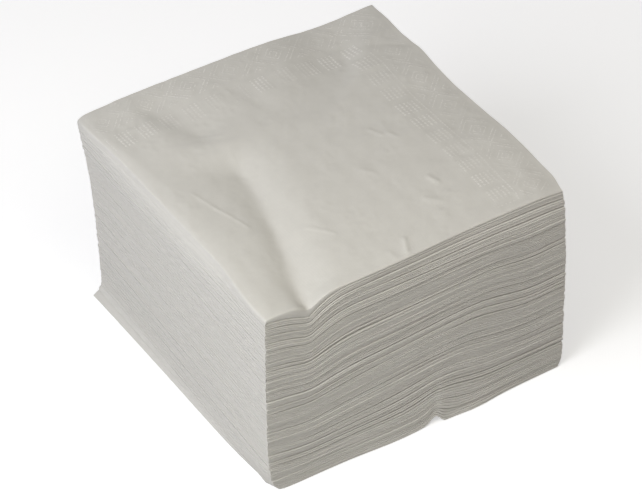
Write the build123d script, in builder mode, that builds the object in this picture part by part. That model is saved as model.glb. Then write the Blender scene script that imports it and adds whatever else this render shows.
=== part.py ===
"""A pile of paper napkins, each one square sheet of tissue folded twice.

Frame: the origin is at the middle of the underside, +Z is up, +X runs along the front and +Y from
front to back. In every napkin the first fold closes the front and the second fold closes the left
side, so the right side and the back show the cut edges of four leaves. A crease is pressed into the
top of the pile at the front, and an arch stands under its foot; both run out towards the back.
"""

import os

from build123d import *

os.makedirs("parts", exist_ok=True)

# Driving sizes of the napkins, in mm
sheet = 330.0
count = 50
leaf = 0.40
leaf_gap = 0.20
fold_bevel = 0.30

# How far the lowest leaf is pressed flat where the pile stands
settle = 0.05

# Crease in the top of the pile: its depth, how many napkins feel it, and its places as shares of the side
valley_depth = 6.5
valley_napkins = 31
valley_left, valley_x, valley_right = 0.05, 0.145, 0.25
valley_tip = 0.36

# Arch under the foot of the pile, given in the same way
crest_height = 4.5
crest_napkins = 31
crest_left, crest_x, crest_right = 0.37, 0.585, 0.80
crest_tip = 0.62

# Share of a crease that is left at the back, and how far the slit's tool passes the cut edges
run_out = 0.01
overrun = 1.0

# Sizes that follow
side = sheet / 2
strip = 2 * leaf + leaf_gap
napkin_height = 2 * strip + leaf_gap
bevel = min(fold_bevel, 0.4 * strip)
creased_from = count - min(valley_napkins, count)
arched_to = min(crest_napkins, count)
left, front, back = -side / 2, -side / 2, side / 2


def valley_lift(level):
    """The crease is deepest in the top face and fades downwards, level by level."""
    height = (count - creased_from) * napkin_height
    return -valley_depth * (level - creased_from * napkin_height) / height


def crest_lift(level):
    """The arch is highest in the underside and fades upwards."""
    height = arched_to * napkin_height
    return crest_height * (height - level) / height


def flat_lift(level):
    """The shoulders of a crease stay level."""
    return 0.0


def stations(number):
    """Places where the leaves of one napkin bend: along the front, along the back, and their lift."""
    places = []
    if number >= creased_from:
        for share, lift in ((valley_left, flat_lift), (valley_x, valley_lift), (valley_right, flat_lift)):
            places.append((share * side, (valley_tip + run_out * (share - valley_x)) * side, lift))
    if number < arched_to:
        for share, lift in ((crest_left, flat_lift), (crest_x, crest_lift), (crest_right, flat_lift)):
            places.append((share * side, (crest_tip + run_out * (share - crest_x)) * side, lift))
    return places


def face_line(level, inset, start, end, places, at_back):
    """Points of one face of a leaf in a section, from the left fold to the cut edge on the right."""
    z = level + inset - settle
    points = [(left + start, z)]
    for front_x, back_x, lift in places:
        if at_back:
            points.append((left + back_x, z + run_out * lift(level)))
        else:
            points.append((left + front_x, z + lift(level)))
    points.append((left + end, z))
    return points


def strip_section(y, number, inset, at_back):
    """Section of the doubled strip, folded over itself on the left, drawn in by inset at its faces."""
    bottom, top = number * napkin_height, (number + 1) * napkin_height
    places = stations(number)
    under = face_line(bottom, inset, inset + bevel, side, places, at_back)
    over = face_line(top, -inset, inset + bevel, side, places, at_back)
    inner_under = face_line(bottom + strip, -inset, strip - inset, side, places, at_back)
    inner_over = face_line(top - strip, inset, strip - inset, side, places, at_back)
    fold = [
        (left + inset, bottom + inset + bevel - settle),
        (left + inset, top - inset - bevel - settle),
    ]
    with BuildSketch(Plane.XZ.offset(-y)) as section:
        with BuildLine():
            Polyline(*under[::-1], *fold, *over, *inner_over[::-1], *inner_under, close=True)
        make_face()
    return section.sketch


def slit_section(y, number, at_back):
    """Section of the thin space between the two leaves of the strip."""
    bottom, top = number * napkin_height, (number + 1) * napkin_height
    places = stations(number)
    inner, end = leaf + leaf_gap, side + overrun
    under = face_line(bottom + leaf, 0, leaf, end, places, at_back)
    over = face_line(top - leaf, 0, leaf, end, places, at_back)
    inner_under = face_line(bottom + inner, 0, inner, end, places, at_back)
    inner_over = face_line(top - inner, 0, inner, end, places, at_back)
    with BuildSketch(Plane.XZ.offset(-y)) as section:
        with BuildLine():
            Polyline(*under[::-1], *over, *inner_over[::-1], *inner_under, close=True)
        make_face()
    return section.sketch


# The napkins, from the lowest to the top one; every lofted face is flat, so it is laid again as a plane
for number in range(count):
    name = f"napkin_{number + 1:02d}"
    folded_front = strip_section(front, number, bevel, False)
    behind_front = strip_section(front + bevel, number, 0, False)
    cut_back = strip_section(back, number, 0, True)
    slit_front = slit_section(front + leaf, number, False)
    slit_back = slit_section(back, number, True)
    slit_end = slit_section(back + overrun, number, True)
    with BuildPart() as lofted:
        loft([folded_front, behind_front, cut_back], ruled=True)
        loft([slit_front, slit_back, slit_end], ruled=True, mode=Mode.SUBTRACT)
        if number == 0:
            split(bisect_by=Plane.XY, keep=Keep.TOP)
    facets = [Face(face.outer_wire()) for face in lofted.faces()]
    with BuildPart() as napkin:
        add(Solid(Shell(facets)))
    napkin.part.label = name
    export_step(napkin.part, f"parts/{name}.step")
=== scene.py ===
"""A pile of quarter-folded paper napkins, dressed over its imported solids.

Every napkin is one square sheet of creped tissue, folded twice and closed all round its cut edges.
The whole pile then settles together: a valley runs in from the front, a low arch stands at its
foot, and the closed folds on the left sink into a soft shoulder. Lengths inside the shape functions
are millimetres in the pile's own directions: across from the left folds, deep from the front folds,
and level up from the table.
"""

import math

import bpy
import numpy as np
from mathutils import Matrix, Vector


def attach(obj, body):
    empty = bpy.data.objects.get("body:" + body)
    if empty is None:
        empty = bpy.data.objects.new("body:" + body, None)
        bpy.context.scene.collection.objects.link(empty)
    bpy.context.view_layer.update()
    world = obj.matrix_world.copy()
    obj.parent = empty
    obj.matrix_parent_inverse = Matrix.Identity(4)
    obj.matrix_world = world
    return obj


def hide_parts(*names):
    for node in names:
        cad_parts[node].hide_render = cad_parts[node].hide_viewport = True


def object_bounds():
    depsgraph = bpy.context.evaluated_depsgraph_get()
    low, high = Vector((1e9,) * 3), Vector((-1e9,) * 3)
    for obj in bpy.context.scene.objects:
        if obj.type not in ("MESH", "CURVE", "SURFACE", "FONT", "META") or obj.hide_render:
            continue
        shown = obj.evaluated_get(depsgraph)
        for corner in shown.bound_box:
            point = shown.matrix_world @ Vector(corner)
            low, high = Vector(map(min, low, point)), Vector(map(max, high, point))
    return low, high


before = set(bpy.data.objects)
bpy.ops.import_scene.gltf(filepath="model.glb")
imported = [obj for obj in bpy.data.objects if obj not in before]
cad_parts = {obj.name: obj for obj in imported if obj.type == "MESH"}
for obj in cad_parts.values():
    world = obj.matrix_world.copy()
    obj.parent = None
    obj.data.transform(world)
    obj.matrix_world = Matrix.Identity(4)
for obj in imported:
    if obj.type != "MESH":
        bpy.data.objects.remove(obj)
CAD_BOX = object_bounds()

bl_info = {
    "name": "Paper napkin pile",
    "version": (1, 0, 0),
    "blender": (4, 5, 0),
    "location": "View3D > Sidebar > Napkins",
    "description": "Builds a pile of quarter-folded paper napkins on its packed frame",
    "category": "Mesh",
}

MM = 0.001
NODES = sorted(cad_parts)
PILE_HEIGHT = CAD_BOX[1][2] - CAD_BOX[0][2]
SIDE = CAD_BOX[1][0] - CAD_BOX[0][0]

# The pile gapes more below each of these napkins, counted down from the top, than between others.
GAPES = (0, 2, 4, 6, 8, 13, 14, 21, 23, 25, 27, 33, 38, 40, 42, 43, 46, 48)

# The pressed border's rows, in millimetres in from the open edge, and the gaps between its lines.
LATTICE_MIDDLE = 9.2
LATTICE_HALF = 7.6
PAIR_GAP = 2.4
PAIR_PITCH = 7.2
LINE_INSET = 19.4
BLOCK_INSET = 26.3
BLOCK_DEEP = 5.4
BLOCK_HALF = 4.4
DASH_PITCH = 2.2
# The sheet was cut this much wider beside the border than behind it.
SIDE_MARGIN = 2.2
BEAD_PITCH = 1.9
# Half widths of the border's fine lines, and how far from the folds the border and the fuzz end.
PAIR_LINE = 0.38
EDGE_LINE = 0.35
BEAD = 0.68
DASH = 0.5
BORDER_STOP = 4.5
FUZZ_STOP = 2.0

# Sizes of the paper's own patterns, in millimetres: clouds of fibre, single fibres, crepe ridges,
# and the patches in which the press took hold. Real fibres are finer and real ridges stand 0.3 mm
# apart, but they are drawn this coarse so that they show.
CLOUD = 4.0
FIBRE = 0.9
RIDGE_PITCH = 1.2
PATCH = 22.0


def linear(hex_colour):
    """An sRGB hex colour as linear red, green and blue: each channel through the sRGB curve."""
    channels = [int(hex_colour[i : i + 2], 16) / 255 for i in (1, 3, 5)]
    return tuple(
        c / 12.92 if c <= 0.04045 else ((c + 0.055) / 1.055) ** 2.4 for c in channels
    )


class NapkinSizes(bpy.types.PropertyGroup):
    """Sizes of one napkin and of the way it lies on the next."""

    sheet: bpy.props.FloatProperty(
        name="Sheet", description="Side of the flat sheet", default=2 * SIDE, unit="LENGTH"
    )
    leaf_share: bpy.props.FloatProperty(
        name="Leaf share",
        description="Share of its own level that one leaf of paper fills",
        default=0.84,
        subtype="FACTOR",
    )
    fold_press: bpy.props.FloatProperty(
        name="Left fold press",
        description="Depth of the left fold over its half height",
        default=0.035,
        subtype="FACTOR",
    )
    front_press: bpy.props.FloatProperty(
        name="Front fold press",
        description="Depth of a tightly held front fold over its half height",
        default=0.22,
        subtype="FACTOR",
    )
    sway: bpy.props.FloatProperty(
        name="Sway",
        description="Spread of the napkins' shifts in the pile",
        default=0.00014,
        unit="LENGTH",
    )
    seed: bpy.props.IntProperty(
        name="Seed", description="Start of the shifts between napkins", default=7
    )


class PileShape(bpy.types.PropertyGroup):
    """How the pile has settled."""

    valley_depth: bpy.props.FloatProperty(
        name="Valley depth",
        description="Depth of the valley under the top napkin",
        default=0.0092,
        unit="LENGTH",
    )
    valley_place: bpy.props.FloatProperty(
        name="Valley place",
        description="Valley's distance from the left folds, at the front",
        default=0.0235,
        unit="LENGTH",
    )
    notch_depth: bpy.props.FloatProperty(
        name="Notch depth",
        description="Depth of the notch in the top napkin's front fold",
        default=0.0058,
        unit="LENGTH",
    )
    crest_height: bpy.props.FloatProperty(
        name="Crest height",
        description="Height of the wave over the arch",
        default=0.0045,
        unit="LENGTH",
    )
    arch_height: bpy.props.FloatProperty(
        name="Arch height",
        description="Height of the arch under the lowest napkin",
        default=0.0039,
        unit="LENGTH",
    )
    shoulder_drop: bpy.props.FloatProperty(
        name="Shoulder drop",
        description="How far the top left folds sink",
        default=0.0018,
        unit="LENGTH",
    )


class BorderSizes(bpy.types.PropertyGroup):
    """The pressed border along the two open edges of the top napkin."""

    relief: bpy.props.FloatProperty(
        name="Relief", description="Height of a pressed line", default=0.00009, unit="LENGTH"
    )
    line: bpy.props.FloatProperty(
        name="Line", description="Half width of a pressed line", default=0.0006, unit="LENGTH"
    )
    lattice_pitch: bpy.props.FloatProperty(
        name="Lattice pitch",
        description="Length of one lozenge along the edge",
        default=0.0236,
        unit="LENGTH",
    )
    block_pitch: bpy.props.FloatProperty(
        name="Block pitch",
        description="Length from one block of dashes to the next",
        default=0.0126,
        unit="LENGTH",
    )


class PaperColours(bpy.types.PropertyGroup):
    """Colours of the paper and of the floor."""

    tissue: bpy.props.FloatVectorProperty(
        name="Tissue",
        description="Unbleached white of the tissue",
        default=linear("#D4D2CC"),
        subtype="COLOR",
    )
    tissue_thin: bpy.props.FloatVectorProperty(
        name="Thin tissue",
        description="Tone of the thinner places between the fibres",
        default=linear("#CDCBC5"),
        subtype="COLOR",
    )
    tissue_pressed: bpy.props.FloatVectorProperty(
        name="Pressed tissue",
        description="Tone of the denser paper in a pressed line",
        default=linear("#E4E2DD"),
        subtype="COLOR",
    )
    floor: bpy.props.FloatVectorProperty(
        name="Floor", description="Pale floor", default=linear("#DEDEDE"), subtype="COLOR"
    )


def smooth_step(value, start, end):
    """0 before start, 1 after end, and 3q^2 - 2q^3 between them, q being the share of the way."""
    share = np.clip((value - start) / (end - start), 0, 1)
    return share * share * (3 - 2 * share)


def bell(offset, width):
    """exp(-(offset / width)^2): 1 in the middle and near 0 at twice the width."""
    return np.exp(-((offset / width) ** 2))


def beside(across, deep, start, end):
    """How far each point lies past the ends of a straight stroke, and how far beside its line.

    The stroke runs from start to end, and the side is positive on its left hand.
    """
    run = np.subtract(end, start)
    length = math.hypot(*run)
    along = ((across - start[0]) * run[0] + (deep - start[1]) * run[1]) / length
    side = ((deep - start[1]) * run[0] - (across - start[0]) * run[1]) / length
    return along - np.clip(along, 0, length), side


def dent(across, deep, start, end, left, right, fade):
    """A stroke with a bell across it, of its own width on each hand, that fades past its ends."""
    past, side = beside(across, deep, start, end)
    return bell(side, np.where(side > 0, left, right)) * bell(past, fade)


def valley_line(deep):
    """How far across the valley lies: from its place on the front it drifts right in a slack S."""
    shape = bpy.context.scene.pile_shape
    drift = 0.235 * deep + 2.1 * smooth_step(deep, 0, 35)
    return shape.valley_place / MM + drift + 1.1 * np.sin(2 * math.pi * (deep - 43) / 88)


def valley_run_out(across, deep):
    """The valley's share at each place: a slow fall, then a wall that slants back to the left."""
    wall = 105 + 0.4 * np.maximum(valley_line(deep) - across, 0)
    return (1 - 0.16 * deep / 80) * (1 - smooth_step(deep - wall, -13, 8))


def valley_flanks(across, deep, rounding, left, right):
    """1 in the valley's line, falling off on both sides from a rounded bottom.

    On its left it is exp(-distance / width), on its right (1 - distance / width)^2.2.
    """
    away = across - valley_line(deep)
    reach = np.sqrt(away**2 + rounding**2) - rounding
    rising = (1 - np.clip(reach / right, 0, 1)) ** 2.2
    return np.where(away < 0, np.exp(-reach / left), rising)


def valley(across, deep, level):
    """Depth of the valley in the pile, which grows upwards and sharpens from trough to crease."""
    shape = bpy.context.scene.pile_shape
    height = level / (PILE_HEIGHT / MM)
    depth = shape.valley_depth / MM * np.clip(height, 0, 1) ** 1.3
    right = 22 + 0.08 * deep + 18 * (1 - height)
    flanks = valley_flanks(across, deep, 0.8 + 9 * (1 - height), 15 + 0.06 * deep, right)
    return depth * flanks * valley_run_out(across, deep)


def lobe(across, deep):
    """How far the top leaf stands over the leaf below it beside the valley.

    The top leaf's own notch is shallower: its left flank is half a gentle fall and half a short
    steep one. It is sharp in the front fold and rounder behind it.
    """
    shape = bpy.context.scene.pile_shape
    behind = smooth_step(deep, 0, 9)
    rounding = 1.8 + 3.2 * behind - 1.4 * smooth_step(deep, 20, 50)
    right = 15 + 4.5 * behind + 0.01 * deep
    short = 2.8 + 2.2 * smooth_step(deep, 0, 30) + 6 * smooth_step(deep, 45, 95)
    gentle = valley_flanks(across, deep, rounding, 14 + 0.06 * deep, right)
    steep = valley_flanks(across, deep, rounding, short, right)
    notch = shape.notch_depth / MM * (0.45 * gentle + 0.55 * steep) * valley_run_out(across, deep)
    return valley(across, deep, PILE_HEIGHT / MM) - notch


def crest(across, deep, level):
    """Rise of the wave over the arch: a bell that drifts right and widens on its left upwards.

    At the table it narrows to the arch. Its height fades towards the top and towards the back.
    """
    shape = bpy.context.scene.pile_shape
    height = level / (PILE_HEIGHT / MM)
    middle = 92.6 + 26 * smooth_step(height, 0.0, 0.7)
    left = 4.2 + 39 * smooth_step(height, 0.0, 0.45)
    right = 2.6 + 16.5 * smooth_step(height, 0.0, 0.16)
    away = across - middle
    wave = np.where(away < 0, bell(away, left), bell(away, right))
    foot = 1 - smooth_step(height, 0.0, 0.2)
    size = shape.arch_height / MM * foot + shape.crest_height / MM * (1 - foot)
    return size * wave * (1 - smooth_step(height, 0.45, 1.0)) * (1 - smooth_step(deep, 0, 140))


def side_gap(place):
    """Distance in from the open edge."""
    return SIDE / MM - place


def terrace(across, deep):
    """Depth of the low ground by the back right corner: a long fall to its line, then a short rise.

    The line curves in from the back edge: 136 less a share of the square of the distance from
    that edge. A narrow flat lies between the fall and the rise.
    """
    away = across - 136 + 0.0115 * side_gap(deep) ** 2
    fall = smooth_step(away, -31, 0)
    rise = smooth_step(away, 3, 15 + 14 * smooth_step(deep, 128, 165))
    depth = 3.2 * smooth_step(deep, 98, 150) - 0.7 * smooth_step(deep, 148, 165)
    return depth * fall * (1 - rise)


def right_edge_fall(across, deep):
    """Fall to the right edge: wide along part of it, and narrow up to the corner's crease."""
    wide = smooth_step(across, 126, 156) * smooth_step(deep, 48, 72)
    wide = wide * (1 - smooth_step(deep, 92, 112))
    narrow = smooth_step(across, 152, 166) * (1 - smooth_step(deep, 104, 126))
    return 1.4 * wide + narrow * (0.6 + 0.5 * smooth_step(deep, 30, 5))


def top_dents(across, deep):
    """Dents and lifts that reach down through the upper napkins.

    They are two rounded strokes, a terrace, the fall to the right edge, and the rise to the back.
    Each stroke runs towards the front, so its left hand is the right of the pile, and falls short
    and steep on one side and long on the other.
    """
    first = dent(across, deep, (35, 150), (44.5, 125), 14, 7, 7)
    second = dent(across, deep, (76, 140), (78.5, 129), 6, 3.6, 5)
    _, corner = beside(across, deep, (130.5, 147), (164.6, 130))
    lifted = smooth_step(corner, -2, 14) * smooth_step(across, 118, 134)
    sunk = bell(corner, 2.4) * smooth_step(across, 124, 136)
    to_back = smooth_step(deep, 75, 165)
    back_left = bell(across - 14, 13) * to_back
    back_rise = smooth_step(across, 12, 30) * (1 - smooth_step(across, 138, 165)) * to_back
    return (
        -1.4 * first
        - 0.5 * second
        - terrace(across, deep)
        + 0.4 * lifted
        - 0.15 * sunk
        - right_edge_fall(across, deep)
        + 0.2 * back_left
        + 1.0 * back_rise
    )


def top_creases(across, deep):
    """Fine raised creases and pinches in the top leaf alone: narrow bells along short strokes."""
    # Start, end, height and width of each stroke.
    strokes = (
        ((18.7, 90.4), (22.6, 76.4), 0.2, 0.75),
        ((22.6, 76.4), (28.3, 58.9), 0.27, 0.75),
        ((50.2, 42.3), (57.5, 32.4), 0.24, 0.75),
        ((41.0, 123.0), (50.5, 118.2), 0.14, 0.9),
        ((79.4, 2.0), (82.2, 11.0), 0.5, 1.3),
        ((73.0, 1.5), (72.0, 7.0), 0.25, 1.6),
        ((115.2, 41.5), (116.6, 37.0), 0.45, 1.5),
        ((112.2, 85.0), (114.4, 79.5), 0.3, 1.2),
        ((118.0, 78.5), (119.2, 75.0), 0.28, 1.2),
        ((105.6, 30.0), (111.0, 24.0), 0.25, 1.6),
        ((92.0, 63.0), (96.0, 58.0), 0.2, 1.6),
    )
    lift = np.zeros_like(across)
    for start, end, height, width in strokes:
        lift += height * dent(across, deep, start, end, width, width, 1.5)
    return lift


def ripple(across, deep, seed, waves, shortest, longest):
    """Sum of seeded cosine waves in all directions and of many lengths, its spread near 1."""
    draw = np.random.default_rng(seed)
    total = 0
    for _ in range(waves):
        turn, start = draw.uniform(0, 2 * math.pi, 2)
        step = 2 * math.pi / draw.uniform(shortest, longest)
        run = across * math.cos(turn) + deep * math.sin(turn)
        total = total + np.cos(step * run + start)
    return total * math.sqrt(2 / waves)


def pressed_border(across, deep):
    """How far the border stands out, from 0 to 1: raised lines, each a bell across its width.

    In from the edge come pairs of lines that cross and close into lozenges, then, by the right
    edge, a single line, then a row of low pads. Lengths run along each edge from the corner where
    the open edges meet.
    """
    border = bpy.context.scene.border_sizes
    inset = np.minimum(side_gap(across) - SIDE_MARGIN, side_gap(deep))
    along = np.maximum(side_gap(across) - SIDE_MARGIN, side_gap(deep))
    width = border.line / MM
    pitch = border.lattice_pitch / MM
    to_cross = np.abs(np.mod(along / pitch + 0.5, 1) - 0.5) * pitch
    middle = np.abs(inset - LATTICE_MIDDLE)
    slant = middle - to_cross + PAIR_GAP / 2
    pairs = np.abs(np.mod(slant / PAIR_PITCH + 0.5, 1) - 0.5) * PAIR_PITCH
    # The lines slant at 45 degrees, so a step across one is this share of a step along the edge.
    slanted = 0.707
    lattice = bell(slanted * (pairs - PAIR_GAP / 2), width) * (middle < LATTICE_HALF)
    line = bell(side_gap(across) - SIDE_MARGIN - LINE_INSET, width) * (side_gap(deep) > LINE_INSET)
    block = border.block_pitch / MM
    in_block = np.abs(np.mod(along / block + 0.5, 1) - 0.5) * block
    pad = smooth_step(BLOCK_HALF - in_block, -0.5, 0.5)
    pad = pad * smooth_step(BLOCK_DEEP - np.abs(inset - BLOCK_INSET), -0.5, 0.5)
    return np.maximum(np.maximum(lattice, 0.25 * line), 0.8 * pad) * (inset > 0.6)


def near_top(level, start):
    """0 up to start, a share of the pile's height, and smoothly up to 1 at the top."""
    return smooth_step(level / (PILE_HEIGHT / MM), start, 1.0)


def blunt_corner(across, deep, level):
    """1 in the top back left corner, and less along both its edges by exp(-distance / 4)."""
    from_left = np.maximum(across, 0)
    from_back = side_gap(np.minimum(deep, SIDE / MM))
    return near_top(level, 0.86) * np.exp(-from_left / 4 - from_back / 4)


def settled_height(across, deep, level):
    """Heights in the settled pile, in millimetres.

    They are the level, less the valley, plus the crest, less a dip on the right, plus a heel low
    at the front left, less the shoulder, which falls away towards the left folds, plus the dents,
    which fade out below the top 40 mm, less the blunt corner. Every term grows slowly enough with
    the level that two levels never cross.
    """
    shape = bpy.context.scene.pile_shape
    height = level / (PILE_HEIGHT / MM)
    upper = near_top(level, 0.62)
    dip = 0.9 * bell(across - 146, 11) * smooth_step(height, 0.05, 0.4) * smooth_step(deep, 90, 0)
    dip = dip * (1 - near_top(level, 0.8))
    heel = 1.8 * bell(across, 14) * bell(deep, 50) * smooth_step(height, 0, 0.15)
    heel = heel * (1 - smooth_step(height, 0.2, 0.55))
    from_left = np.maximum(across, 0)
    sinking = 0.1 + 0.9 * smooth_step(deep, 0, 70) - 0.75 * smooth_step(deep, 110, 165)
    rounded = 6 + 6 * smooth_step(deep, 10, 50) - 6 * smooth_step(deep, 90, 150)
    fall = 0.35 * np.exp(-from_left / 3.0) + 0.5 * (1 - smooth_step(from_left, 0, rounded))
    shoulder = shape.shoulder_drop / MM * upper * sinking * fall
    z = level - valley(across, deep, level) + crest(across, deep, level) - dip + heel - shoulder
    return z + upper**2 * top_dents(across, deep) - 1.5 * blunt_corner(across, deep, level)


def left_side(deep, level):
    """How far the left side has moved to the right.

    Its front end stays put over the level and its back end follows a curve, with straight shares of
    both between them, and near the table it is hollow in the middle.
    """
    back = deep / (SIDE / MM)
    high = np.clip(level / (PILE_HEIGHT / MM), 0, 1)
    front_end = -1.9
    back_end = 6.85 - 5.0 * high - 4.85 * high**4 - 6.1 * np.exp(-level / 2.5)
    hollow = 6 * back * (1 - back) * np.exp(-level / 30)
    return front_end * (1 - back) + back_end * back + hollow


def right_side(across, deep, level):
    """How far the right side has moved to the right.

    The edges of the top napkins bow in and out along their depth. Those below lie nearly straight,
    but for a band under the top that stands back.
    """
    back = deep / (SIDE / MM)
    head = near_top(level, 0.86)
    bowed = -2.1 + 2.3 * smooth_step(back, 0, 0.08) + 1.1 * bell(back - 0.28, 0.13)
    bowed = bowed + 0.55 * right_edge_fall(across, deep) - 0.7 * bell(deep - 96, 14)
    bowed = bowed + 0.8 * bell(deep - 124, 8) - 0.5 * bell(deep - 141, 8)
    bowed = bowed - 0.5 * smooth_step(deep, 150, 162)
    straight = 0.2 - 1.2 * bell(level / (PILE_HEIGHT / MM) - 0.85, 0.14)
    return straight * (1 - head) + bowed * head


def settled_across(across, deep, level):
    """Places from left to right in the settled pile, in millimetres from its middle.

    A point follows its share of the moves of the left and the right side. The foot tucks in at the
    front left and draws in its toe at the front right, and the top napkins retreat along the left
    folds, the topmost further.
    """
    side = SIDE / MM
    right = across / side
    from_left = np.maximum(across, 0)
    from_front = np.maximum(deep, 0)
    moved = left_side(deep, level) * (1 - right) + right_side(across, deep, level) * right
    tuck = 5.3 * np.exp(-level / 4.5) + 2.2 * np.exp(-level / 18)
    tuck = tuck * np.exp(-from_left / 14 - from_front / 22)
    tuck = tuck - 1.6 * bell(deep - 8, 5) * np.exp(-level / 5 - from_left / 14)
    toe = 2.8 * np.exp(-level / 4 - from_front / 25) * np.clip(right, 0, 2) ** 8
    retreat = 2.4 * near_top(level, 0.86) * np.exp(-from_left / 9)
    retreat = retreat + 1.4 * near_top(level, 0.95) * np.exp(-from_left / 5)
    retreat = retreat * smooth_step(deep, 8, 50) * (1 - 0.6 * smooth_step(deep, 120, 165))
    blunt = 0.7 * blunt_corner(across, deep, level)
    return across - side / 2 + moved + tuck - toe + retreat + blunt


def settled_deep(across, deep, level):
    """Places from front to back in the settled pile, in millimetres from its middle.

    The pile leans back a little, and its top napkins lean further at the front right and fan out at
    the back. The foot pouts in front beside the arch, and its front left corner is drawn in.
    """
    side = SIDE / MM
    right = across / side
    head = near_top(level, 0.86)
    from_left = np.maximum(across, 0)
    from_front = np.maximum(deep, 0)
    tilt = level / (PILE_HEIGHT / MM) - 0.5
    leaning = 2.2 * head * np.exp(-from_front / 25) * smooth_step(across, 30, 130)
    fanned = 4.0 * head * (1 - 0.9 * right**2) * deep / side
    pouting = 1.6 * smooth_step(across, 92, 96) * bell(across - 105, 46)
    pouting = pouting + 1.6 * bell(across - 72, 22) + 1.4 * bell(across - 115, 11)
    pouting = pouting * np.exp(-level / 12 - from_front / 30)
    drawn_in = 0.9 * np.exp(-(level + from_left + from_front) / 4)
    blunt = 0.7 * blunt_corner(across, deep, level)
    return deep - side / 2 + tilt + fanned - pouting + leaning + drawn_in - blunt


def settle(across, deep, level):
    """Places points of a straight pile in the settled one, as x, y and z in millimetres."""
    return (
        settled_across(across, deep, level),
        settled_deep(across, deep, level),
        settled_height(across, deep, level),
    )


def fold_line(below, above, cells):
    """One fold seen end on: its straight run, its turn's cosine and sine, and its flat places.

    The lower run comes in from the far edge, turns half a circle in a few cells, and goes out again
    on top.
    """
    turn = np.linspace(-math.pi / 2, math.pi / 2, cells + 1)[1:-1]
    straight = np.concatenate([below[::-1], np.zeros_like(turn), above])
    cosine = np.concatenate([np.zeros_like(below), np.cos(turn), np.zeros_like(above)])
    sine = np.concatenate([-np.ones_like(below), np.sin(turn), np.ones_like(above)])
    far = above[-1]
    place = np.concatenate([far - below[::-1], np.full_like(turn, far), far + above]) / (2 * far)
    return straight, cosine, sine, place


def grid_shell(columns, rows):
    """Faces of two grids of points, back to back, joined all round their edges.

    The first grid faces outwards, the second is turned over, and the four rims close the shell.
    """
    index = np.arange(columns * rows).reshape(columns, rows)
    second = index + columns * rows

    def quads(a, b, c, d):
        """Four arrays of corners as rows of faces."""
        return np.stack([a.ravel(), b.ravel(), c.ravel(), d.ravel()], axis=1)

    outer = quads(index[:-1, :-1], index[1:, :-1], index[1:, 1:], index[:-1, 1:])
    inner = quads(second[:-1, :-1], second[:-1, 1:], second[1:, 1:], second[1:, :-1])
    rim = np.concatenate([index[:-1, 0], index[-1, :-1], index[:0:-1, -1], index[0, :0:-1]])
    ahead = np.roll(rim, -1)
    edge = quads(rim, rim + columns * rows, ahead + columns * rows, ahead)
    return np.concatenate([outer, inner, edge])


def sheet_mesh(name, points, faces, places):
    """A mesh from whole arrays of points, faces and flat places, smooth but for its cut edges."""
    mesh = bpy.data.meshes.new(name)
    mesh.vertices.add(len(points))
    mesh.vertices.foreach_set("co", (points * MM).astype(np.float32).ravel())
    mesh.loops.add(faces.size)
    mesh.loops.foreach_set("vertex_index", faces.astype(np.int32).ravel())
    mesh.polygons.add(len(faces))
    mesh.polygons.foreach_set("loop_start", np.arange(0, faces.size, 4, dtype=np.int32))
    mesh.update(calc_edges=True)
    flat = mesh.uv_layers.new(name="flat_sheet")
    flat.data.foreach_set("uv", places[faces].astype(np.float32).ravel())
    mesh.polygons.foreach_set("use_smooth", np.ones(len(faces), dtype=bool))
    mesh.set_sharp_from_angle(angle=math.radians(65))
    if mesh.validate():
        raise RuntimeError(f"{name} has faces that don't hold together")
    return mesh


def napkin_levels():
    """Lowest and highest level of each napkin, the gap it leaves above, and whether it is loose.

    The levels and gaps are seeded shares of the pile's height. The loose ones give the pile's
    darker lines, and the lowest six lie closer under the load.
    """
    sizes = bpy.context.scene.napkin_sizes
    draw = np.random.default_rng(sizes.seed)
    count = len(NODES)
    loose = np.isin(np.arange(count)[::-1], GAPES)
    share = draw.uniform(0.85, 1.15, count) + 0.2 * loose
    share[-1] = 1.45
    gap = np.where(loose, draw.uniform(0.5, 0.78, count), draw.uniform(0.1, 0.28, count))
    gap[-1] = 0.25
    gap[:6] *= 0.5
    bounds = np.concatenate([[0], np.cumsum(share)]) / share.sum() * PILE_HEIGHT / MM
    return bounds[:-1], bounds[1:], gap, loose


def napkin_lie(number):
    """How one napkin lies, seeded by its number.

    That is its shift across and deep in millimetres, its turn in radians, how far its four cut
    edges stand out, and the share of its gap that the left fold closes.
    """
    sizes = bpy.context.scene.napkin_sizes
    draw = np.random.default_rng(1000 * sizes.seed + number)
    swayed = np.clip(draw.normal(0, 1, 2), -1.4, 1.4) * sizes.sway / MM
    shift = swayed * (0.3 + 0.2 * number / len(NODES), 1.3)
    turn = draw.normal(0, 0.0006)
    uneven = draw.normal(0, 0.12, 4)
    spring = 0.89 if draw.random() < 0.3 else 1.0
    return shift, turn, uneven, spring


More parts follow.
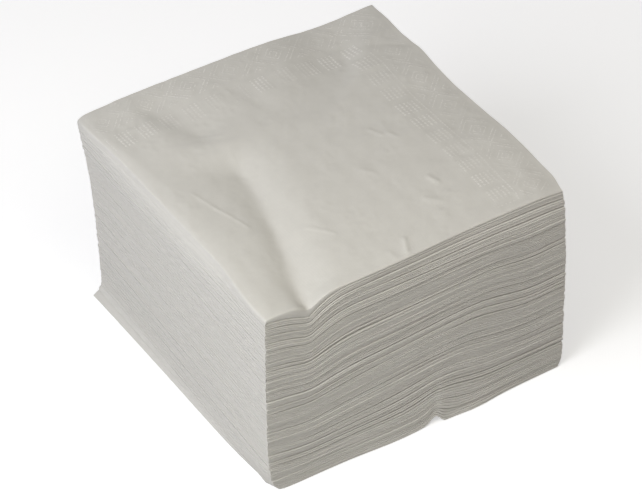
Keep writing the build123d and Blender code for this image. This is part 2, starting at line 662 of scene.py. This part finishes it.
def folded_napkin(number, across_runs, deep_runs, cells, is_top):
    """One napkin: a square sheet folded once about the front and once about the left.

    The first fold gives each point a place w either side of the doubled strip's middle, and the
    second carries the strip round a hairpin: across = run + press * (widest - cos * (r + w)), and
    level = half + sin * (r + w). The sheet's two faces are the same surface at the fold's half
    height plus and minus half a leaf. The left fold springs open and closes the gap there, on some
    napkins only most of it, and elsewhere the gap opens and closes in slow waves. The upper half
    of the top napkin's left fold is rounder than all the others, which lie pressed. Then come the
    napkin's own shift and turn, and the pile's settling.
    """
    sizes = bpy.context.scene.napkin_sizes
    lower, higher, gap, loose = (levels[number] for levels in napkin_levels())
    shift, turn, uneven, spring = napkin_lie(number)
    tall = higher - lower - gap
    leaf = sizes.leaf_share * tall / 4
    strip = tall / 4
    hold = strip / 2
    unpressed = math.exp(-(len(NODES) - 1 - number) / 1.5)
    front_press = sizes.front_press * (1 + (3.5 if loose else 1.5) * gap) + 0.35 * unpressed
    opening = (-2.2, -0.3) if loose else (0.4, 1.7)

    straight_u, cos_u, sin_u, place_u = (a[:, None] for a in fold_line(*across_runs, cells))
    straight_v, cos_v, sin_v, place_v = (a[None, :] for a in fold_line(*deep_runs, cells))
    left_press = sizes.fold_press + 0.8 * is_top * (sin_u > 0.01)
    far = SIDE / MM
    straight_u = straight_u * (1 + np.where(sin_u > 0, uneven[0], uneven[1]) / far)
    straight_v = straight_v * (1 + np.where(sin_v > 0, uneven[2], uneven[3]) / far)
    faces = []
    for half in (leaf / 2, -leaf / 2):
        radius = hold + half
        reach = strip + radius * sin_v
        pushed = left_press * (3 * strip / 2 + leaf / 2 - cos_u * reach)
        across = straight_u + pushed * (1 - straight_u / far)
        deep = straight_v + front_press * (hold + leaf / 2 - radius * cos_v) + 0 * across
        sprung = spring * np.exp(-across / 5)
        closed = 1 - smooth_step(ripple(across, deep, 350 + number, 5, 70, 220), *opening)
        swollen = 1 + gap / tall * np.maximum(sprung, closed) + 0.035 * sprung
        level = lower + (tall / 2 + sin_u * reach) * swollen
        ragged = ripple(across, 40 * sin_u, 50 + number, 5, 30, 130)
        deep = deep + 0.1 * ragged * np.exp(-deep / 9)
        ragged = ripple(40 * sin_v, deep, 150 + number, 5, 30, 130)
        across = across + 0.045 * ragged * np.exp(-across / 9)
        middle = far / 2
        across, deep = (
            across + shift[0] - turn * (deep - middle),
            deep + shift[1] + turn * (across - middle),
        )
        x, y, z = settle(across, deep, level)
        if is_top:
            upper = (0.5 + 0.5 * sin_u) * (0.5 + 0.5 * sin_v)
            z = z + upper * lobe(across, deep) * (1 - 0.6 * np.exp(-np.maximum(across, 0) / 4))
            z = z + (upper > 0.999) * leaf_relief(across, deep)
        faces.append(np.stack([x, y, z], axis=-1).reshape(-1, 3))
    shell = grid_shell(place_u.size, place_v.size)
    flat = np.stack(np.broadcast_arrays(place_u, place_v), axis=-1).reshape(-1, 2)
    points = np.concatenate(faces)
    points[:, 2] = np.maximum(points[:, 2], 0)
    return points, shell, np.concatenate([flat, flat])


def leaf_relief(across, deep):
    """Height of the top leaf's own relief: its creases, its pressed border and its slack.

    The slack is two sums of waves, one long and one short, and the short one comes and goes in
    patches. It all fades out at the two folds.
    """
    border = bpy.context.scene.border_sizes.relief / MM * pressed_border(across, deep)
    slack = 0.07 * (ripple(across, deep, 5, 28, 8, 28) + 1.5)
    patches = smooth_step(ripple(across, deep, 6, 16, 14, 40), -0.6, 1.4)
    crumple = 0.028 * (0.35 + patches) * ripple(across, deep, 21, 48, 3.2, 9)
    relief = top_creases(across, deep) + border + slack + crumple
    return relief * smooth_step(across, 0.5, 5) * smooth_step(deep, 0.3, 2.5)


def add_node(tree, kind, settings=None, links=None, **sockets):
    """Adds one node: settings are its properties, sockets its values and links its sources."""
    node = tree.nodes.new(kind)
    for key, value in (settings or {}).items():
        setattr(node, key, value)
    for key, value in sockets.items():
        node.inputs[key.replace("_", " ")].default_value = value
    for key, source in (links or {}).items():
        tree.links.new(source, node.inputs[key])
    return node


def per_metre(millimetres):
    """A texture scale that repeats once in so many millimetres."""
    return 1 / (millimetres * MM)


def pressed_lines(tree, flat_sheet, fibres, patches):
    """The pressed border's fine lines, from 0 to 1, and the height of the fibres.

    The lines are worked out on the flat sheet and broken up by its fibres, which stand up more
    where the sheet is folded. Inset is the distance from the nearer open edge and along the
    distance from the corner. A ping-pong of a length gives the distance from the nearest of evenly
    spaced places, and a comparison with a place and half a width gives a line there. Pairs of
    lines cross into lozenges, a beaded line follows the right edge, and then come blocks of beaded
    dashes, which all run from front to back.
    """
    border = bpy.context.scene.border_sizes
    sheet = bpy.context.scene.napkin_sizes.sheet / MM
    scaled = add_node(
        tree, "ShaderNodeMapping", links={"Vector": flat_sheet}, Scale=(sheet, sheet, 1.0)
    )
    places = add_node(tree, "ShaderNodeSeparateXYZ", links={"Vector": scaled.outputs["Vector"]})
    made = {
        "u": places.outputs["X"],
        "v": places.outputs["Y"],
        "fibres": fibres,
        "patches": patches,
    }
    recipe = (
        ("from cut", "PINGPONG", "u", sheet / 2),
        ("from side", "SUBTRACT", "from cut", SIDE_MARGIN),
        ("from back", "PINGPONG", "v", sheet / 2),
        ("inset", "MINIMUM", "from side", "from back"),
        ("along", "MAXIMUM", "from side", "from back"),
        ("to cross", "PINGPONG", "along", border.lattice_pitch / MM / 2),
        ("from middle", "SUBTRACT", "inset", LATTICE_MIDDLE),
        ("off middle", "ABSOLUTE", "from middle"),
        ("slant", "SUBTRACT", "off middle", "to cross"),
        ("from pair", "ADD", "slant", PAIR_GAP / 2),
        ("zigzag", "PINGPONG", "from pair", PAIR_PITCH / 2),
        ("pairs", "COMPARE", "zigzag", PAIR_GAP / 2, PAIR_LINE),
        ("lattice row", "COMPARE", "inset", LATTICE_MIDDLE, LATTICE_HALF),
        ("lattice", "MULTIPLY", "pairs", "lattice row"),
        ("whole line", "COMPARE", "from side", LINE_INSET, EDGE_LINE),
        ("past corner", "GREATER_THAN", "from back", BLOCK_INSET + BLOCK_DEEP),
        ("to bead", "PINGPONG", "from back", BEAD_PITCH / 2),
        ("beads", "LESS_THAN", "to bead", BEAD),
        ("beaded", "MULTIPLY", "whole line", "beads"),
        ("line", "MULTIPLY", "beaded", "past corner"),
        ("to dash", "PINGPONG", "from side", DASH_PITCH / 2),
        ("dashes", "LESS_THAN", "to dash", DASH),
        ("to block", "PINGPONG", "along", border.block_pitch / MM / 2),
        ("blocks", "LESS_THAN", "to block", BLOCK_HALF),
        ("block row", "COMPARE", "inset", BLOCK_INSET, BLOCK_DEEP),
        ("knots", "MULTIPLY", "dashes", "beads"),
        ("dashed", "MULTIPLY", "knots", "blocks"),
        ("dash row", "MULTIPLY", "dashed", "block row"),
        ("half caught", "GREATER_THAN", "fibres", 0.51),
        ("broken lattice", "MULTIPLY", "lattice", "half caught"),
        ("beadwork", "MAXIMUM", "line", "dash row"),
        ("mostly caught", "GREATER_THAN", "fibres", 0.43),
        ("broken beads", "MULTIPLY", "beadwork", "mostly caught"),
        ("border", "MAXIMUM", "broken lattice", "broken beads"),
        ("before fold", "LESS_THAN", "along", sheet / 2 - BORDER_STOP),
        ("patchy", "MULTIPLY", "border", "patches"),
        ("lines", "MULTIPLY", "patchy", "before fold"),
        ("to fold", "MAXIMUM", "from cut", "from back"),
        ("on fold", "GREATER_THAN", "to fold", sheet / 2 - FUZZ_STOP),
        ("fold fuzz", "MULTIPLY_ADD", "on fold", 1.2, 1.0),
        ("fuzz", "MULTIPLY", "fibres", "fold fuzz"),
    )
    for name, operation, *terms in recipe:
        node = add_node(tree, "ShaderNodeMath", settings={"operation": operation})
        for socket, term in zip(node.inputs, terms):
            if isinstance(term, str):
                tree.links.new(made[term], socket)
            else:
                socket.default_value = term
        made[name] = node.outputs[0]
    return made["lines"], made["fuzz"]


def creped_tissue():
    """Creped two-ply tissue paper, dried on a cylinder and scraped off it.

    That leaves fine crumples across the sheet and clouds of thicker and thinner fibre, quite matt,
    with a faint fuzz at grazing angles.
    """
    colours = bpy.context.scene.paper_colours
    material = bpy.data.materials.new("creped_tissue_paper")
    material.use_nodes = True
    tree = material.node_tree
    tree.nodes.clear()
    place = add_node(tree, "ShaderNodeTexCoord")
    # Clouds of thicker and thinner paper, and the single fibres in them.
    clouds = add_node(
        tree,
        "ShaderNodeTexNoise",
        links={"Vector": place.outputs["Object"]},
        Scale=per_metre(CLOUD),
        Detail=4.0,
        Roughness=0.6,
    )
    fibres = add_node(
        tree,
        "ShaderNodeTexNoise",
        links={"Vector": place.outputs["Object"]},
        Scale=per_metre(FIBRE),
        Detail=3.0,
        Roughness=0.65,
    )
    # Crepe ridges, broken up by distortion. At a scale of pi the bands repeat ten times a unit.
    crepe_scale = 2 * SIDE * per_metre(RIDGE_PITCH) / 10
    crepe_place = add_node(
        tree,
        "ShaderNodeMapping",
        links={"Vector": place.outputs["UV"]},
        Scale=(crepe_scale, crepe_scale, 1.0),
    )
    crepe = add_node(
        tree,
        "ShaderNodeTexWave",
        settings={"wave_type": "BANDS", "bands_direction": "X"},
        links={"Vector": crepe_place.outputs["Vector"]},
        Scale=math.pi,
        Distortion=3.5,
        Detail=2.0,
        Detail_Scale=1.6,
    )
    tone = add_node(
        tree,
        "ShaderNodeMix",
        settings={"data_type": "RGBA"},
        links={0: clouds.outputs["Fac"]},
    )
    tone.inputs[6].default_value = (*colours.tissue_thin, 1)
    tone.inputs[7].default_value = (*colours.tissue, 1)
    # The press took hold unevenly, in patches.
    uneven = add_node(
        tree,
        "ShaderNodeTexNoise",
        links={"Vector": place.outputs["Object"]},
        Scale=per_metre(PATCH),
        Detail=1.0,
    )
    patches = add_node(
        tree,
        "ShaderNodeMapRange",
        links={"Value": uneven.outputs["Fac"]},
        From_Min=0.25,
        From_Max=0.6,
    )
    pressed, fuzz_height = pressed_lines(
        tree, place.outputs["UV"], fibres.outputs["Fac"], patches.outputs["Result"]
    )
    toned = add_node(
        tree,
        "ShaderNodeMix",
        settings={"data_type": "RGBA"},
        links={0: pressed, 6: tone.outputs[2]},
    )
    toned.inputs[7].default_value = (*colours.tissue_pressed, 1)
    crumple = add_node(
        tree,
        "ShaderNodeBump",
        links={"Height": crepe.outputs["Fac"]},
        Strength=0.2,
        Distance=0.00003,
    )
    fuzz = add_node(
        tree,
        "ShaderNodeBump",
        links={"Height": fuzz_height, "Normal": crumple.outputs["Normal"]},
        Strength=0.35,
        Distance=0.0001,
    )
    surface = add_node(
        tree,
        "ShaderNodeBump",
        links={"Height": pressed, "Normal": fuzz.outputs["Normal"]},
        Strength=0.6,
        Distance=0.0001,
    )
    paper = add_node(
        tree,
        "ShaderNodeBsdfPrincipled",
        links={"Base Color": toned.outputs[2], "Normal": surface.outputs["Normal"]},
        Roughness=0.92,
        IOR=1.45,
        Specular_IOR_Level=0.18,
        Sheen_Weight=0.08,
        Sheen_Roughness=0.6,
    )
    add_node(
        tree, "ShaderNodeOutputMaterial", links={"Surface": paper.outputs["BSDF"]}
    )
    return material


def lay_napkin(context, number, across_runs, deep_runs, cells, is_top=False):
    """Makes one napkin's object, in its paper, on the frame's root, in its solid's place."""
    node = NODES[number]
    name = node.replace("napkin", "folded_napkin")
    mesh = sheet_mesh(name, *folded_napkin(number, across_runs, deep_runs, cells, is_top))
    piece = bpy.data.objects.new(name, mesh)
    context.scene.collection.objects.link(piece)
    material = bpy.data.materials.get("creped_tissue_paper") or creped_tissue()
    piece.data.materials.append(material)
    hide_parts(node)
    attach(piece, "root")


def pile_runs():
    """Places of a lower napkin's lines across and deep, in millimetres.

    They stand closer near the valley, the arch, the front and the corners, where the paper bends
    most.
    """
    side = SIDE / MM
    in_valley = np.linspace(4.5, 54, 16)
    to_arch = np.linspace(60, 81, 4)
    in_arch = np.linspace(86, 99, 11)
    past_arch = np.linspace(104, side, 9)
    across = np.concatenate([[0.6, 2.2], in_valley, to_arch, in_arch, past_arch])
    near_front = np.linspace(8, 60, 8)
    to_back = np.linspace(74, 158, 7)
    deep = np.concatenate([[0.6, 3], near_front, to_back, [162, side]])
    return across, deep


class NAPKINS_OT_lower(bpy.types.Operator):
    """Lay every napkin but the top one"""

    bl_idname = "napkins.lower"
    bl_label = "Lower napkins"

    def execute(self, context):
        """Both runs of each fold have the same lines."""
        across, deep = pile_runs()
        for number in range(len(NODES) - 1):
            lay_napkin(context, number, (across, across), (deep, deep), 6)
        return {"FINISHED"}


class NAPKINS_OT_top(bpy.types.Operator):
    """Lay the top napkin, with its pressed border and creases"""

    bl_idname = "napkins.top"
    bl_label = "Top napkin"

    def execute(self, context):
        """The upper leaf's lines stand under a millimetre apart, for the border and the creases."""
        across, deep = pile_runs()
        fine = np.linspace(0.6, SIDE / MM, 180)
        lay_napkin(context, len(NODES) - 1, (across, fine), (deep, fine), 10, is_top=True)
        return {"FINISHED"}


class NAPKINS_OT_stage(bpy.types.Operator):
    """Set the floor, the light and the camera"""

    bl_idname = "napkins.stage"
    bl_label = "Stage"

    def execute(self, context):
        """A pale floor, even light all round, a broad soft lamp on the left, and the camera."""
        scene = context.scene
        scene.view_settings.view_transform = "Standard"
        mesh = bpy.data.meshes.new("floor")
        reach = 4.0
        drop = -0.0002
        corners = [(-reach, -reach), (reach, -reach), (reach, reach), (-reach, reach)]
        mesh.from_pydata([(x, y, drop) for x, y in corners], [], [(0, 1, 2, 3)])
        floor = bpy.data.objects.new("floor", mesh)
        scene.collection.objects.link(floor)
        mesh.materials.append(self.floor_material(scene.paper_colours.floor))
        self.light(scene)
        self.camera(scene)
        return {"FINISHED"}

    def floor_material(self, colour):
        """Matt pale floor that the camera sees lifted to white, with the pile's shadow kept."""
        lift = 0.52
        material = bpy.data.materials.new("matt_floor")
        material.use_nodes = True
        tree = material.node_tree
        tree.nodes.clear()
        ray = add_node(tree, "ShaderNodeLightPath")
        seen = add_node(
            tree,
            "ShaderNodeMath",
            settings={"operation": "MAXIMUM"},
            links={0: ray.outputs["Is Camera Ray"], 1: ray.outputs["Is Glossy Ray"]},
        )
        seen = add_node(
            tree,
            "ShaderNodeMath",
            settings={"operation": "MAXIMUM"},
            links={0: seen.outputs[0], 1: ray.outputs["Is Transmission Ray"]},
        )
        strength = add_node(
            tree, "ShaderNodeMath", settings={"operation": "MULTIPLY"}, links={0: seen.outputs[0]}
        )
        strength.inputs[1].default_value = lift
        matt = add_node(tree, "ShaderNodeBsdfDiffuse", Color=(*colour, 1))
        glow = add_node(
            tree, "ShaderNodeEmission", links={"Strength": strength.outputs[0]}, Color=(1, 1, 1, 1)
        )
        both = add_node(
            tree, "ShaderNodeAddShader", links={0: matt.outputs[0], 1: glow.outputs[0]}
        )
        add_node(tree, "ShaderNodeOutputMaterial", links={"Surface": both.outputs[0]})
        return material

    def light(self, scene):
        """Even light, white to the camera, a broad lamp on the left and weak ones in front."""
        world = bpy.data.worlds.new("studio")
        scene.world = world
        world.use_nodes = True
        tree = world.node_tree
        tree.nodes.clear()
        ray = add_node(tree, "ShaderNodeLightPath")
        even = add_node(tree, "ShaderNodeBackground", Color=(1.0, 0.97, 0.92, 1), Strength=0.2)
        white = add_node(tree, "ShaderNodeBackground", Color=(1, 1, 1, 1), Strength=1.0)
        mix = add_node(
            tree,
            "ShaderNodeMixShader",
            links={0: ray.outputs["Is Camera Ray"], 1: even.outputs[0], 2: white.outputs[0]},
        )
        add_node(tree, "ShaderNodeOutputWorld", links={"Surface": mix.outputs[0]})
        # Name, width in metres, power in watts, colour and place of each lamp.
        lamps = (
            ("left_lamp", 0.7, 7.6, (0.99, 0.99, 1.07), (-0.80, -0.20, 0.76)),
            ("front_lamp", 0.4, 0.2, (1.12, 0.92, 0.86), (0.15, -0.50, 0.45)),
            ("near_lamp", 0.25, 0.3, (1.03, 0.99, 0.83), (-0.04, -0.18, 0.45)),
            ("side_lamp", 0.25, 0.19, (1.02, 1.12, 0.8), (-0.30, -0.22, 0.40)),
        )
        middle = Vector((0, 0, 0.06))
        for name, size, energy, colour, place in lamps:
            lamp = bpy.data.lights.new(name, "AREA")
            lamp.shape = "DISK"
            lamp.size = size
            lamp.energy = energy
            lamp.color = colour
            lit = bpy.data.objects.new(name, lamp)
            scene.collection.objects.link(lit)
            lit.location = place
            away = lit.location - middle
            lit.rotation_euler = away.to_track_quat("Z", "Y").to_euler()

    def camera(self, scene):
        """A long lens above the front left, at the angle and distance that the corners give."""
        lens = bpy.data.cameras.new("camera")
        lens.sensor_width = 36.0
        lens.lens = 252.3
        lens.clip_end = 20.0
        camera = bpy.data.objects.new("camera", lens)
        scene.collection.objects.link(camera)
        azimuth = math.radians(-32.75)
        elevation = math.radians(41.03)
        back = Vector(
            (
                math.sin(azimuth) * math.cos(elevation),
                -math.cos(azimuth) * math.cos(elevation),
                math.sin(elevation),
            )
        )
        aim = Vector((-0.0022, -0.0010, 0.055))
        distance = 2.1443
        camera.location = aim + distance * back
        camera.rotation_euler = back.to_track_quat("Z", "Y").to_euler()
        scene.camera = camera


GROUPS = {
    "napkin_sizes": NapkinSizes,
    "pile_shape": PileShape,
    "border_sizes": BorderSizes,
    "paper_colours": PaperColours,
}
STEPS = (NAPKINS_OT_lower, NAPKINS_OT_top, NAPKINS_OT_stage)


class NAPKINS_PT_pile(bpy.types.Panel):
    """The pile's steps, in order"""

    bl_idname = "NAPKINS_PT_pile"
    bl_label = "Napkin pile"
    bl_space_type = "VIEW_3D"
    bl_region_type = "UI"
    bl_category = "Napkins"

    def draw(self, context):
        """Lists the values and the steps that use them."""
        for group in GROUPS:
            values = getattr(context.scene, group)
            box = self.layout.box()
            for key in values.bl_rna.properties.keys():
                if key not in {"rna_type", "name"}:
                    box.prop(values, key)
        for step in STEPS:
            self.layout.operator(step.bl_idname)


def register():
    """Registers the values, the steps and the panel."""
    for name, group in GROUPS.items():
        bpy.utils.register_class(group)
        setattr(bpy.types.Scene, name, bpy.props.PointerProperty(type=group))
    for step in STEPS:
        bpy.utils.register_class(step)
    bpy.utils.register_class(NAPKINS_PT_pile)


def unregister():
    """Takes everything back in the opposite order."""
    bpy.utils.unregister_class(NAPKINS_PT_pile)
    for step in reversed(STEPS):
        bpy.utils.unregister_class(step)
    for name, group in reversed(GROUPS.items()):
        delattr(bpy.types.Scene, name)
        bpy.utils.unregister_class(group)


def main():
    """Builds the pile and its stage."""
    register()
    bpy.ops.napkins.lower()
    bpy.ops.napkins.top()
    bpy.ops.napkins.stage()
    bpy.context.view_layer.update()


if __name__ == "__main__":
    main()
